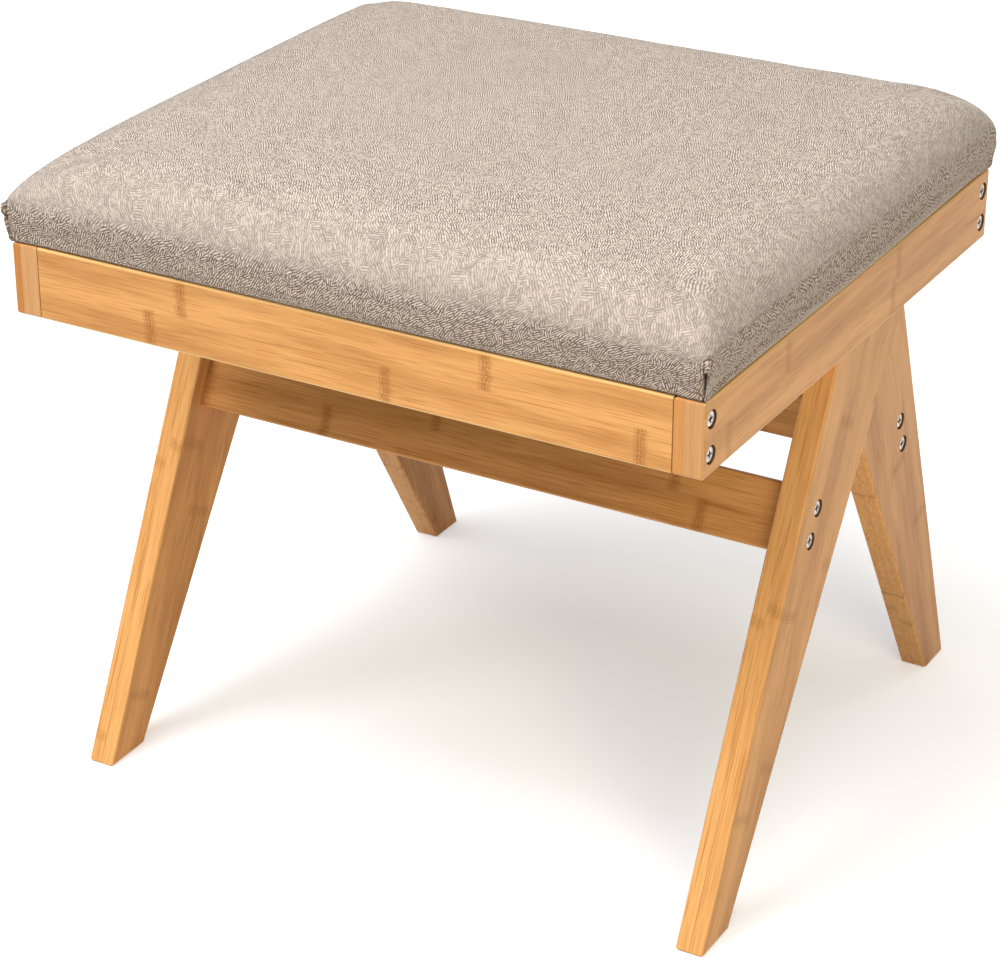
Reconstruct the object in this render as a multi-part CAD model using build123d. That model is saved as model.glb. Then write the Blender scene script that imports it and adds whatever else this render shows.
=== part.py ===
"""Bamboo footstool with V-shaped legs and an upholstered seat.

Millimetres, +Z up. The front faces -Y. The origin lies on the floor, under the middle of the part.
"""
import os
from math import atan, cos, degrees, radians, sin

from build123d import *

os.makedirs("parts", exist_ok=True)

# Seat frame: two side rails over the full depth, front and rear rails between them
frame_width = 500
frame_depth = 440
rail_top = 410
rail_height = 50
board = 20  # thickness of every bamboo board
edge_round = 2  # easing of the boards' edges
joint_ease = 0.5  # easing where one board butts against another

# Legs, drawn from the side. Their tops are measured at the rails' underside, behind the frame's middle.
leg_setback = 6  # a front leg's outer face, in from the rail's outer face
leg_top_drop = 10  # top of the legs inside the frame, below the rail's top
foot_bevel = 1.5
front_foot_setback = 35  # front of the front foot, behind the frame's front face
front_foot_depth = 39
front_leg_top_front = -10
front_leg_top_rear = 96.3
rear_foot_reach = 47  # back of the rear foot, behind the frame's rear face
rear_foot_depth = 33
rear_leg_top_rear = 134.5
rear_leg_top_front = 15.5

# Stretchers, set parallel to the outer edge of their legs
stretcher_height = 45
front_stretcher_setback = 13  # from the leg's outer edge, square to it
rear_stretcher_setback = 16
front_stretcher_rise = 249  # middle of the stretcher above the floor
rear_stretcher_rise = 230

# Screws: a long one for the boards and a thin one for what is hidden
hole_play = 0.1  # gap round a shank
tip_play = 0.5  # gap past a tip
long_screw_length = 50
long_screw_shank = 5
long_screw_head = 10
long_screw_recess = 1
thin_screw_length = 30
leg_screw_length = 35
thin_screw_shank = 4
thin_screw_head = 8
thin_screw_recess = 2.5
head_thickness = 2
head_ease = 0.6
counterbore_margin = 1  # counterbore radius beyond the head's
cross_depth = 1.5
cross_width = 1.6
cross_share = 0.55  # length of the cross, as a share of the head
tip_share = 1.2  # length of the point, in shank diameters
rail_screw_spacing = 23
stretcher_screw_spacing = 22

# Screws that join the legs inside the frame, measured from the middle of the lap
lap_screw_spacing = 30
lap_screw_drop = 17  # below the rail
rail_lap_screw_spacing = 56
rail_lap_screw_rise = 20  # above the rail's underside

# Seat cleats inside the front and rear rails
cleat_side = 20
cleat_length = 380
cleat_drop = 4  # below the rail's top
cleat_screw_pitch = 140
seat_screw_pitch = 140

# Seat board and cover
seat_board_thickness = 12
cover_skin = 1.2
cover_play = 0.3  # between the cover and what it wraps
cover_margin = 50  # width of the edge turned in under the board
dust_cover_thickness = 0.6
dust_cover_play = 1

# Cushion form
pad_overhang = 7  # widest point beyond the frame
pad_side_bow = 1.5  # how far a side swells between its corners
pad_base_draw = 8.5  # how far the sides draw in at the base
pad_mid_draw = 2.5  # how far they draw in half way up to the widest point
pad_widest_rise = 24
pad_shoulder_in = 30
pad_shoulder_rise = 26
pad_crown = 7
shoulder_steps = 5
crown_share = 0.65  # of the way from the shoulder to the middle, up to the flat of the crown
crown_steps = 4
pad_base_corner = 3
pad_corner = 6  # at the widest point
pad_corner_growth = 1  # corner radius gained for each unit that the top goes in
pad_corner_share = 0.8  # largest corner radius, as a share of half the section's depth

# Staples round the cover's edge
staple_width = 10
staple_wire = 0.8
staple_leg = 7
staple_inset = 42  # from the board's edge
staples_long_side = 5
staples_short_side = 4

# Places that follow from the sizes
total_depth = pad_overhang + frame_depth + rear_foot_reach
frame_front = -total_depth / 2 + pad_overhang
frame_rear = frame_front + frame_depth
frame_middle = frame_front + frame_depth / 2
rail_bottom = rail_top - rail_height
rail_middle = rail_top - rail_height / 2
rail_outer = frame_width / 2
rail_inner = rail_outer - board
front_leg_outer = rail_outer - leg_setback
lap_face = front_leg_outer - board
rear_leg_inner = lap_face - board
leg_top = rail_top - leg_top_drop
front_foot = frame_front + front_foot_setback
rear_foot = frame_rear + rear_foot_reach
front_inner_foot = front_foot + front_foot_depth
rear_inner_foot = rear_foot - rear_foot_depth
seat_board_base = rail_top + cover_skin
seat_board_top = seat_board_base + seat_board_thickness
pad_half_x = frame_width / 2 + pad_overhang - pad_side_bow
pad_half_y = frame_depth / 2 + pad_overhang - pad_side_bow
board_half_x = pad_half_x - pad_base_draw - cover_skin - cover_play
board_half_y = pad_half_y - pad_base_draw - cover_skin - cover_play
board_corner = pad_base_corner
SIDES = (-1, 1)


def lean_to(top, foot):
    """Run for each unit of rise of a leg's edge, from the floor to the rails' underside."""
    return (frame_middle + top - foot) / rail_bottom


front_leg_outer_lean = lean_to(front_leg_top_front, front_foot)
front_leg_inner_lean = lean_to(front_leg_top_rear, front_inner_foot)
rear_leg_outer_lean = lean_to(rear_leg_top_rear, rear_foot)
rear_leg_inner_lean = lean_to(rear_leg_top_front, rear_inner_foot)


def block(x0, x1, y0, y1, z0, z1):
    """Box between two opposite corners."""
    middle = Pos((x0 + x1) / 2, (y0 + y1) / 2, (z0 + z1) / 2)
    return middle * Box(abs(x1 - x0), abs(y1 - y0), abs(z1 - z0))


def mirrored(shape, side):
    """The shape itself on the right, its mirror image on the left."""
    return shape if side > 0 else mirror(shape, about=Plane.YZ)


# Screws stand on +Z: the head's top is at z = 0 and the shank points down.
def screw(length, shank, head):
    """Wood screw with a flat head, a cross recess and a plain point."""
    radius = shank / 2
    point = shank * tip_share
    top = Pos(0, 0, -head_thickness / 2) * Cylinder(head / 2, head_thickness)
    top = fillet(top.edges().group_by(Axis.Z)[-1], head_ease)
    for angle in (0, 90):
        slot = Box(head * cross_share, cross_width, 2 * cross_depth)
        top -= Rot(0, 0, angle) * slot
    straight = length - head_thickness - point
    body = Pos(0, 0, -head_thickness - straight / 2) * Cylinder(radius, straight)
    tip = Pos(0, 0, point / 2 - length) * Cone(radius / 8, radius, point)
    return top + body + tip


def screw_hole(length, shank, head, recess):
    """What a screw takes out of the boards: a counterbore open at the top, and its shank."""
    bore_radius = head / 2 + counterbore_margin
    bore_depth = recess + head_thickness
    bore = Pos(0, 0, recess / 2 - head_thickness / 2) * Cylinder(bore_radius, bore_depth)
    depth = length + tip_play
    shaft = Pos(0, 0, -depth / 2) * Cylinder(shank / 2 + hole_play, depth)
    return bore + shaft


def long_screw():
    return screw(long_screw_length, long_screw_shank, long_screw_head)


def long_hole():
    return screw_hole(long_screw_length, long_screw_shank, long_screw_head, long_screw_recess)


def thin_screw(length):
    return screw(length, thin_screw_shank, thin_screw_head)


def thin_hole(length):
    return screw_hole(length, thin_screw_shank, thin_screw_head, thin_screw_recess)


def facing_out(side, x, y, z):
    """Place of a screw whose head faces away from the middle of the stool."""
    return Pos(side * x, y, z) * Rot(0, side * 90, 0)


def facing_in(side, x, y, z):
    """Place of a screw whose head faces the middle of the stool."""
    return Pos(side * x, y, z) * Rot(0, -side * 90, 0)


def along_slope(y, z, lean, distance):
    """Point at a distance up a slope that leans back by lean for each unit of rise."""
    angle = atan(lean)
    return y + distance * sin(angle), z + distance * cos(angle)


# Screw places: each list holds one location for each screw
long_seat = rail_outer - long_screw_recess
rail_screw_places = [
    facing_out(side, long_seat, y, rail_middle + rise)
    for side in SIDES
    for y in (frame_front + board / 2, frame_rear - board / 2)
    for rise in (-rail_screw_spacing / 2, rail_screw_spacing / 2)
]


def stretcher_middle(foot, lean, setback, rise):
    """Middle of a stretcher's section, square behind its leg's outer edge."""
    from_edge = (setback + board / 2) / cos(atan(lean))
    towards_middle = 1 if lean > 0 else -1
    return foot + lean * rise + towards_middle * from_edge, rise


front_stretcher_at = stretcher_middle(
    front_foot, front_leg_outer_lean, front_stretcher_setback, front_stretcher_rise
)
rear_stretcher_at = stretcher_middle(
    rear_foot, rear_leg_outer_lean, rear_stretcher_setback, rear_stretcher_rise
)


def stretcher_screw_places(middle, lean, outer_face):
    places = []
    for side in SIDES:
        for step in (-stretcher_screw_spacing / 2, stretcher_screw_spacing / 2):
            y, z = along_slope(middle[0], middle[1], lean, step)
            places.append(facing_out(side, outer_face - long_screw_recess, y, z))
    return places


front_stretcher_places = stretcher_screw_places(
    front_stretcher_at, front_leg_outer_lean, front_leg_outer
)
rear_stretcher_places = stretcher_screw_places(rear_stretcher_at, rear_leg_outer_lean, lap_face)

# The lap's middle at a height lies half way between the two legs' inner edges.
def lap_middle(z):
    front_edge = rear_inner_foot + rear_leg_inner_lean * z
    rear_edge = front_inner_foot + front_leg_inner_lean * z
    return (front_edge + rear_edge) / 2


leg_screw_places = []
for side in SIDES:
    for height, spacing in (
        (rail_bottom - lap_screw_drop, lap_screw_spacing),
        (rail_bottom + rail_lap_screw_rise, rail_lap_screw_spacing),
    ):
        for step in (-spacing / 2, spacing / 2):
            y = lap_middle(height) + step
            leg_screw_places.append(facing_in(side, rear_leg_inner + thin_screw_recess, y, height))

cleat_top = rail_top - cleat_drop
cleat_base = cleat_top - cleat_side
cleat_middle = cleat_top - cleat_side / 2
front_cleat_back = frame_front + board + cleat_side
rear_cleat_back = frame_rear - board - cleat_side
cleat_screw_places = []
for step in (-1, 0, 1):
    x = step * cleat_screw_pitch
    front_seat = Pos(x, front_cleat_back - thin_screw_recess, cleat_middle)
    cleat_screw_places.append(front_seat * Rot(-90, 0, 0))
    rear_seat = Pos(x, rear_cleat_back + thin_screw_recess, cleat_middle)
    cleat_screw_places.append(rear_seat * Rot(90, 0, 0))
seat_screw_places = []
for side in SIDES:
    x = side * seat_screw_pitch / 2
    for y in (front_cleat_back - cleat_side / 2, rear_cleat_back + cleat_side / 2):
        seat_screw_places.append(Pos(x, y, cleat_base + thin_screw_recess) * Rot(180, 0, 0))


def drilled(shape, places, hole):
    """The shape less a hole at each place."""
    return shape - [place * hole for place in places]


def group(places, piece):
    return Compound(children=[place * piece for place in places])


# Seat frame
def side_rail(side):
    """Right rail, eased all round but for the edges that meet the front and rear rails."""
    rail = block(rail_inner, rail_outer, frame_front, frame_rear, rail_bottom, rail_top)
    joints = rail.edges().filter_by(Axis.Z).group_by(Axis.X)[0]
    eased = [edge for edge in rail.edges() if edge not in joints]
    rail = mirrored(fillet(eased, edge_round), side)
    rail = drilled(rail, rail_screw_places, long_hole())
    return drilled(rail, leg_screw_places, thin_hole(leg_screw_length))


def cross_rail(y0, y1):
    """Front or rear rail between the side rails."""
    rail = block(-rail_inner, rail_inner, y0, y1, rail_bottom, rail_top)
    rail = fillet(rail.edges().filter_by(Axis.X), edge_round)
    ends = rail.faces().filter_by(Axis.X).edges()
    rail = chamfer(ends, joint_ease)
    rail = drilled(rail, rail_screw_places, long_hole())
    return drilled(rail, cleat_screw_places, thin_hole(thin_screw_length))


left_side_rail = side_rail(-1)
right_side_rail = side_rail(1)
front_rail = cross_rail(frame_front, frame_front + board)
rear_rail = cross_rail(frame_rear - board, frame_rear)


# Legs
def leg(foot, foot_depth, outer_lean, inner_lean, inner_face):
    """Tapered board on its foot, drawn from the side and set with its inner face at a place."""
    outline = [
        (foot, 0),
        (foot + foot_depth, 0),
        (foot + foot_depth + inner_lean * leg_top, leg_top),
        (foot + outer_lean * leg_top, leg_top),
    ]
    face = make_face(Plane.YZ * Polyline(*outline, close=True))
    blank = Pos(inner_face, 0, 0) * extrude(face, board, dir=(1, 0, 0))
    long_edges = [edge for edge in blank.edges() if edge.length > leg_top]
    blank = fillet(long_edges, edge_round)
    return chamfer(blank.faces().sort_by(Axis.Z)[0].edges(), foot_bevel)


def front_leg(side):
    """Front leg, notched so that it stands under the rail and laps its inner face."""
    blank = leg(
        front_foot, front_foot_depth, front_leg_outer_lean, front_leg_inner_lean, lap_face
    )
    blank -= block(rail_inner, rail_outer, frame_front, frame_rear, rail_bottom, rail_top)
    blank = mirrored(blank, side)
    blank = drilled(blank, front_stretcher_places, long_hole())
    return drilled(blank, leg_screw_places, thin_hole(leg_screw_length))


def rear_leg(side):
    """Rear leg, which laps the inner face of the front leg."""
    blank = leg(
        rear_foot, -rear_foot_depth, rear_leg_outer_lean, rear_leg_inner_lean, rear_leg_inner
    )
    blank = mirrored(blank, side)
    blank = drilled(blank, rear_stretcher_places, long_hole())
    return drilled(blank, leg_screw_places, thin_hole(leg_screw_length))


front_left_leg = front_leg(-1)
front_right_leg = front_leg(1)
rear_left_leg = rear_leg(-1)
rear_right_leg = rear_leg(1)


# Stretchers
def stretcher(middle, lean, half_length, places):
    """Board between two legs, tilted with them."""
    bar = Box(2 * half_length, board, stretcher_height)
    bar = fillet(bar.edges().filter_by(Axis.X), edge_round)
    bar = chamfer(bar.faces().filter_by(Axis.X).edges(), joint_ease)
    bar = Pos(0, middle[0], middle[1]) * Rot(-degrees(atan(lean)), 0, 0) * bar
    return drilled(bar, places, long_hole())


front_stretcher = stretcher(
    front_stretcher_at, front_leg_outer_lean, lap_face, front_stretcher_places
)
rear_stretcher = stretcher(
    rear_stretcher_at, rear_leg_outer_lean, rear_leg_inner, rear_stretcher_places
)


# Cleats
def cleat(y0, y1):
    half = cleat_length / 2
    strip = block(-half, half, y0, y1, cleat_base, cleat_top)
    strip = drilled(strip, cleat_screw_places, thin_hole(thin_screw_length))
    return drilled(strip, seat_screw_places, thin_hole(thin_screw_length))


front_cleat = cleat(frame_front + board, front_cleat_back)
rear_cleat = cleat(rear_cleat_back, frame_rear - board)


# Cushion
def bowed_section(half_x, half_y, corner, z):
    """Rounded rectangle whose sides swell a little between the corners."""
    turn = corner * (1 - sin(radians(45)))
    near_x = half_x - corner
    near_y = half_y - corner
    edges = []
    for sx, sy in ((1, -1), (1, 1), (-1, 1), (-1, -1)):
        along_x = (sx * near_x, sy * half_y)
        along_y = (sx * half_x, sy * near_y)
        first, last = (along_x, along_y) if sx * sy < 0 else (along_y, along_x)
        bend = (sx * (half_x - turn), sy * (half_y - turn))
        edges.append(ThreePointArc(first, bend, last))
        if sx * sy < 0:
            swell = (sx * (half_x + pad_side_bow), 0)
            edges.append(ThreePointArc(last, swell, (sx * half_x, -sy * near_y)))
        else:
            swell = (0, sy * (half_y + pad_side_bow))
            edges.append(ThreePointArc(last, swell, (-sx * near_x, sy * half_y)))
    return Pos(0, frame_middle, z) * make_face(edges)


def top_corner(draw):
    """Corner radius of the cushion's top where it has gone in by draw."""
    widest = pad_corner_share * (min(pad_half_x, pad_half_y) - draw)
    return min(pad_corner + pad_corner_growth * draw, widest)


def cushion(skin, base):
    """Crowned cushion, smaller by skin than the cover's outside, standing on a height."""
    mid_corner = (pad_base_corner + pad_corner) / 2
    levels = [
        (pad_base_draw, base - rail_top, pad_base_corner),
        (pad_mid_draw, pad_widest_rise / 2, mid_corner),
    ]
    for step in range(shoulder_steps + 1):
        angle = radians(90 * step / shoulder_steps)
        draw = pad_shoulder_in * (1 - cos(angle))
        rise = pad_widest_rise + pad_shoulder_rise * sin(angle) - skin
        levels.append((draw, rise, top_corner(draw)))
    shoulder = pad_widest_rise + pad_shoulder_rise
    crown_run = crown_share * (min(pad_half_x, pad_half_y) - pad_shoulder_in)
    for step in range(1, crown_steps + 1):
        share = step / crown_steps
        draw = pad_shoulder_in + share * crown_run
        rise = shoulder + pad_crown * (1 - (1 - share) ** 2) - skin
        levels.append((draw, rise, top_corner(draw)))
    sections = []
    for draw, rise, corner in levels:
        half_x = pad_half_x - draw - skin
        half_y = pad_half_y - draw - skin
        sections.append(bowed_section(half_x, half_y, corner - skin, rail_top + rise))
    return loft(sections, ruled=True)


# Staples stand on their crown, legs up, along X
def staple():
    crown = Pos(0, 0, -staple_wire / 2) * Box(staple_width, staple_wire, staple_wire)
    shape = crown
    for sx in SIDES:
        prong = Pos(sx * (staple_width - staple_wire) / 2, 0, staple_leg / 2)
        shape += prong * Box(staple_wire, staple_wire, staple_leg)
    return shape


staple_places = []
staple_x = board_half_x - staple_inset
staple_y = board_half_y - staple_inset
for side in SIDES:
    for n in range(staples_long_side):
        x = staple_x * (2 * (n + 0.5) / staples_long_side - 1)
        staple_places.append(Pos(x, frame_middle + side * staple_y, rail_top))
    for n in range(staples_short_side):
        y = staple_y * (2 * (n + 0.5) / staples_short_side - 1)
        staple_places.append(Pos(side * staple_x, frame_middle + y, rail_top) * Rot(0, 0, 90))
staple_cut = staple()
seat_hole = thin_hole(thin_screw_length)

cover_outside = cushion(0, rail_top)
cover_inside = cushion(cover_skin, seat_board_base)
mouth_x = board_half_x - cover_margin
mouth_y = board_half_y - cover_margin
mouth = block(
    -mouth_x, mouth_x, frame_middle - mouth_y, frame_middle + mouth_y, rail_top, seat_board_base
)
upholstery_cover = cover_outside - cover_inside - mouth
upholstery_cover = drilled(upholstery_cover, seat_screw_places, seat_hole)
upholstery_cover = drilled(upholstery_cover, staple_places, staple_cut)

seat_board = block(
    -board_half_x,
    board_half_x,
    frame_middle - board_half_y,
    frame_middle + board_half_y,
    seat_board_base,
    seat_board_top,
)
seat_board = fillet(seat_board.edges().filter_by(Axis.Z), board_corner)
seat_board = drilled(seat_board, seat_screw_places, seat_hole)
seat_board = drilled(seat_board, staple_places, staple_cut)

above_board = block(
    -frame_width, frame_width, -frame_width, frame_width, seat_board_top, 2 * rail_top
)
foam_pad = cushion(cover_skin + cover_play, seat_board_base) & above_board

dust_x = mouth_x - dust_cover_play
dust_y = mouth_y - dust_cover_play
dust_cover = block(
    -dust_x,
    dust_x,
    frame_middle - dust_y,
    frame_middle + dust_y,
    seat_board_base - dust_cover_thickness,
    seat_board_base,
)

nodes = {
    "left_side_rail": left_side_rail,
    "right_side_rail": right_side_rail,
    "front_rail": front_rail,
    "rear_rail": rear_rail,
    "front_left_leg": front_left_leg,
    "front_right_leg": front_right_leg,
    "rear_left_leg": rear_left_leg,
    "rear_right_leg": rear_right_leg,
    "front_stretcher": front_stretcher,
    "rear_stretcher": rear_stretcher,
    "front_cleat": front_cleat,
    "rear_cleat": rear_cleat,
    "seat_board": seat_board,
    "foam_pad": foam_pad,
    "upholstery_cover": upholstery_cover,
    "dust_cover": dust_cover,
    "rail_screws": group(rail_screw_places, long_screw()),
    "front_stretcher_screws": group(front_stretcher_places, long_screw()),
    "rear_stretcher_screws": group(rear_stretcher_places, long_screw()),
    "leg_screws": group(leg_screw_places, thin_screw(leg_screw_length)),
    "cleat_screws": group(cleat_screw_places, thin_screw(thin_screw_length)),
    "seat_screws": group(seat_screw_places, thin_screw(thin_screw_length)),
    "cover_staples": group(staple_places, staple_cut),
}
for name, shape in nodes.items():
    export_step(shape, f"parts/{name}.step")
    box = shape.bounding_box()
    print(f"{name}: {len(shape.solids())} solids, {box.size.X:.1f} x {box.size.Y:.1f} x {box.size.Z:.1f}")
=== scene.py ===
"""Bamboo footstool with an upholstered seat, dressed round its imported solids."""
from math import cos, exp, hypot, pi, radians, sin

import bmesh
import bpy
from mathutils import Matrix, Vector
from mathutils.noise import noise


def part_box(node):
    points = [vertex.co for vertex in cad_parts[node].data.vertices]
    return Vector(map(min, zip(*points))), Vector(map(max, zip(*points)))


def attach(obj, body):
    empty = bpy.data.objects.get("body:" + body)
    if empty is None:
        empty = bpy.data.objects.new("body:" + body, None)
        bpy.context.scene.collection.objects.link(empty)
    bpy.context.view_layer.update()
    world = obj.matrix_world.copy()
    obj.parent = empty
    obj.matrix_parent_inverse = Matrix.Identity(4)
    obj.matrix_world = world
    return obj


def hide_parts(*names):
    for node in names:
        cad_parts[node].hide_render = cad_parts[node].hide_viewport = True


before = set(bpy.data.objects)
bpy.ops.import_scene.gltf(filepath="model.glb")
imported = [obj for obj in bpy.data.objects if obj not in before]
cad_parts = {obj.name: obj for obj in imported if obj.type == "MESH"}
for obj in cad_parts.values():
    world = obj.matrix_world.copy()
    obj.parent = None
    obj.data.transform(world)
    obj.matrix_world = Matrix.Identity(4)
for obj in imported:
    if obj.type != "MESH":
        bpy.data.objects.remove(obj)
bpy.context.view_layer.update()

bl_info = {
    "name": "Bamboo Footstool",
    "version": (1, 0, 0),
    "blender": (4, 5, 0),
    "location": "3D View > Sidebar > Footstool",
    "description": "Finishes the boards, fixings and seat of a bamboo footstool",
    "category": "Object",
}

MM = 0.001
ROOT = "root"
X, Y, Z = Vector((1, 0, 0)), Vector((0, 1, 0)), Vector((0, 0, 1))
BLACK, WHITE = (0.0, 0.0, 0.0), (1.0, 1.0, 1.0)


class Wire:
    """A number that runs through a material. Sums and products of it add Math nodes."""

    def __init__(self, board, socket):
        self.board = board
        self.socket = socket

    def __add__(self, other):
        return self.board.math("ADD", self, other)

    __radd__ = __add__

    def __sub__(self, other):
        return self.board.math("SUBTRACT", self, other)

    def __rsub__(self, other):
        return self.board.math("SUBTRACT", other, self)

    def __mul__(self, other):
        return self.board.math("MULTIPLY", self, other)

    __rmul__ = __mul__

    def __truediv__(self, other):
        return self.board.math("DIVIDE", self, other)

    def __rtruediv__(self, other):
        return self.board.math("DIVIDE", other, self)

    def __abs__(self):
        return self.board.math("ABSOLUTE", self)

    def floor(self):
        """The whole number at or below this."""
        return self.board.math("FLOOR", self)

    def wave(self):
        """The sine of this."""
        return self.board.math("SINE", self)

    def over(self, other):
        """1 where this is greater than other, else 0."""
        return self.board.math("GREATER_THAN", self, other)

    def least(self, other):
        """The smaller of two numbers."""
        return self.board.math("MINIMUM", self, other)

    def most(self, other):
        """The greater of two numbers."""
        return self.board.math("MAXIMUM", self, other)

    def ramp(self, low, high, to_low=0.0, to_high=1.0):
        """Smooth step from to_low at low to to_high at high."""
        node = self.board.node(
            "ShaderNodeMapRange",
            {"interpolation_type": "SMOOTHSTEP"},
            {"Value": self, "From Min": low, "From Max": high, "To Min": to_low, "To Max": to_high},
        )
        return Wire(self.board, node.outputs["Result"])


def rgba(colour):
    """A colour with its alpha, or the socket of one as it is."""
    return colour if isinstance(colour, bpy.types.NodeSocket) else (*colour[:3], 1.0)


class Finish:
    """The nodes of one material, or of the world."""

    def __init__(self, name, owners=None, output="ShaderNodeOutputMaterial"):
        self.owner = (bpy.data.materials if owners is None else owners).new(name)
        self.owner.use_nodes = True
        self.tree = self.owner.node_tree
        self.tree.nodes.clear()
        self.output = self.node(output)

    def node(self, kind, settings=None, inputs=None):
        """Adds a node: its settings first, then the values or links of its sockets."""
        made = self.tree.nodes.new(kind)
        for key, value in (settings or {}).items():
            setattr(made, key, value)
        for key, value in (inputs or {}).items():
            if isinstance(value, Wire):
                value = value.socket
            if isinstance(value, bpy.types.NodeSocket):
                self.tree.links.new(value, made.inputs[key])
            else:
                made.inputs[key].default_value = value
        return made

    def math(self, operation, *values):
        """One Math node on numbers or wires."""
        inputs = dict(enumerate(values))
        return Wire(self, self.node("ShaderNodeMath", {"operation": operation}, inputs).outputs[0])

    def spot(self):
        """The place on the piece, in the frame's metres."""
        return self.node("ShaderNodeTexCoord").outputs["Object"]

    def attribute(self, name):
        """A number that the mesh holds for each of its points."""
        return Wire(self, self.node("ShaderNodeAttribute", {"attribute_name": name}).outputs["Fac"])

    def along(self, place, direction):
        """How far a place lies along a direction."""
        settings = {"operation": "DOT_PRODUCT"}
        node = self.node("ShaderNodeVectorMath", settings, {0: place, 1: tuple(direction)})
        return Wire(self, node.outputs["Value"])

    def place(self, x, y, z):
        """A place from three numbers or wires."""
        return self.node("ShaderNodeCombineXYZ", None, {0: x, 1: y, 2: z}).outputs[0]

    def noise(self, place, scale=1.0, detail=2.0, roughness=0.5, distortion=0.0):
        """Smooth noise from 0 to 1."""
        inputs = {
            "Vector": place,
            "Scale": scale,
            "Detail": detail,
            "Roughness": roughness,
            "Distortion": distortion,
        }
        return Wire(self, self.node("ShaderNodeTexNoise", None, inputs).outputs["Fac"])

    def fibres(self, run, side, through, scales, **settings):
        """Noise drawn out along a board: its scale along the run, and its scale across it."""
        far, near = scales
        return self.noise(self.place(run * far, side * near, through * near), **settings)

    def chance(self, place):
        """A random number from 0 to 1 for each whole-number place."""
        settings = {"noise_dimensions": "3D"}
        node = self.node("ShaderNodeTexWhiteNoise", settings, {"Vector": place})
        return Wire(self, node.outputs["Value"])

    def mix(self, share, first, second):
        """A colour between two colours. The Mix node's colour sockets are 6, 7 and output 2."""
        inputs = {0: share, 6: rgba(first), 7: rgba(second)}
        return self.node("ShaderNodeMix", {"data_type": "RGBA"}, inputs).outputs[2]

    def relief(self, height, depth):
        """Bump of a height from 0 to 1 over a depth in metres."""
        inputs = {"Strength": 1.0, "Distance": depth, "Height": height}
        return self.node("ShaderNodeBump", None, inputs).outputs["Normal"]

    def show(self, shader):
        """Makes a shader the surface, and gives back the material or world."""
        self.tree.links.new(shader.outputs[0], self.output.inputs["Surface"])
        return self.owner

    def surface(self, **sockets):
        """A Principled surface. Its sockets are named with _ for each space."""
        inputs = {name.replace("_", " "): value for name, value in sockets.items()}
        return self.show(self.node("ShaderNodeBsdfPrincipled", None, inputs))


def colour_setting(name, description, default):
    """A colour that a user may change."""
    return bpy.props.FloatVectorProperty(
        name=name, description=description, subtype="COLOR", size=3, min=0, max=1, default=default
    )


def length_setting(name, description, default):
    """A length in metres that a user may change."""
    return bpy.props.FloatProperty(name=name, description=description, unit="LENGTH", default=default)


def number_setting(name, description, default):
    """A number that a user may change."""
    return bpy.props.FloatProperty(name=name, description=description, default=default)


class FootstoolBoards(bpy.types.PropertyGroup):
    """Look of the bamboo boards."""

    light: colour_setting("Light bamboo", "Colour of the paler strips", (0.945, 0.503, 0.181))
    deep: colour_setting("Deep bamboo", "Colour of the darker fibres", (0.585, 0.236, 0.058))
    joint_mark: colour_setting(
        "Node mark", "Colour of the cane's cross marks and glue lines", (0.33, 0.105, 0.016)
    )
    # colour of the painted highlight on the rails' rounded edges
    edge: colour_setting("Eased edge", "Colour of the rubbed edges of the rails", (1.0, 0.66, 0.28))
    strip: length_setting("Strip width", "Width of one cane strip on a broad face", 25 * MM)
    node_pitch: length_setting("Node pitch", "Distance between the cross marks of one strip", 230 * MM)


class FootstoolSeat(bpy.types.PropertyGroup):
    """Shape and look of the cushion."""

    light_yarn: colour_setting("Light yarn", "Colour of the pale yarn", (0.80, 0.69, 0.61))
    dark_yarn: colour_setting("Dark yarn", "Colour of the dark yarn", (0.110, 0.080, 0.062))
    yarn_pitch: length_setting("Yarn pitch", "Distance between neighbouring yarns", 1.5 * MM)
    base_draw: length_setting("Base draw", "How far the sides draw in at the base", 7.0 * MM)
    hem: length_setting("Hem", "Radius of the rounded lower edge", 1.2 * MM)
    widest_rise: length_setting("Widest point", "Height of the widest point above the rails", 24 * MM)
    shoulder_in: length_setting("Shoulder run", "How far the rounded edge runs in", 30 * MM)
    crown: length_setting("Crown", "Rise of the middle above the rounded edge", 5 * MM)
    loft: length_setting("Loft", "How far the padding swells above its foam", 1.5 * MM)
    front_droop: number_setting(
        "Front corner droop", "Share of the rounded edge's height that is lost at a front corner", 0.34
    )
    rear_droop: number_setting(
        "Rear corner droop", "Share of the rounded edge's height that is lost at a rear corner", 0.14
    )
    rear_lift: length_setting(
        "Rear lift", "How far the stuffing lifts the middle of the rear edge", 1.4 * MM
    )
    rear_twist: length_setting(
        "Rear twist", "How much higher the right end of the rear edge lies than its middle", 3.3 * MM
    )
    corner_fill: length_setting(
        "Corner fill", "How much less the sides draw in at the corners, where the cloth is folded", 3.5 * MM
    )
    corner: length_setting(
        "Corner radius", "Corner radius at the widest point, seen from above", 6 * MM
    )
    base_corner: length_setting(
        "Base corner radius", "Corner radius at the base, seen from above", 2 * MM
    )
    corner_growth: number_setting(
        "Corner growth", "Corner radius gained for each unit that the top goes in", 1.0
    )
    fold_depth: length_setting("Fold depth", "Depth of the tuck at each corner", 5.5 * MM)
    fold_rise: length_setting("Fold height", "Height of each corner tuck above the rails", 19.5 * MM)
    margin: length_setting(
        "Turned-in edge", "Width of the cover's edge under the seat board", 50 * MM
    )


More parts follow.
